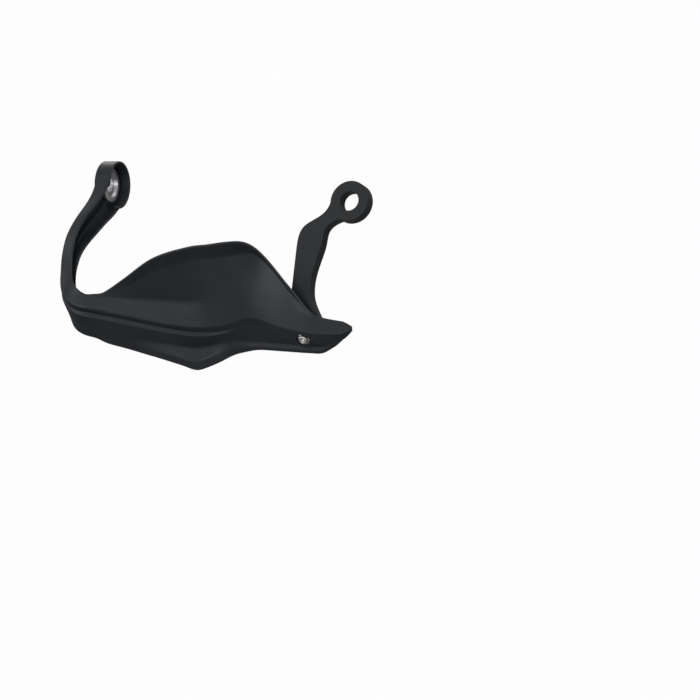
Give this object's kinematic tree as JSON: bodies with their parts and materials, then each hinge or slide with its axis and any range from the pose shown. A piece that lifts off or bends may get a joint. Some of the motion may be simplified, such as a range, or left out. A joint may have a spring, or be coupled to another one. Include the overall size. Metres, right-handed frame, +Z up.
{
  "type": "motorcycle hand guard",
  "caption": "Moulded motorcycle hand guard: bar-end cup, channel arm, upright deflector and stepped lower band, with inner bracket, turned spacer, ring, clip nut and screw.",
  "frame": {"origin": "on the handlebar axis, on the seat inside the bar-end cup", "axes": "+X inboard along the handlebar, -Y forward, +Z up"},
  "size_m": [0.2926, 0.171, 0.1198],
  "materials": {
    "shell_plastic": "fine-grained black moulding with a soft sheen",
    "bracket_plastic": "plain black moulding",
    "turned_aluminium": "fine turned faces",
    "plated_steel": "bright zinc plating"
  },
  "bodies": {
    "root": {"guard_shell": "shell_plastic", "inner_bracket": "bracket_plastic", "bar_end_spacer": "turned_aluminium", "centring_ring": "turned_aluminium", "clip_nut": "plated_steel", "mounting_screw": "plated_steel"}
  },
  "joints": []
}
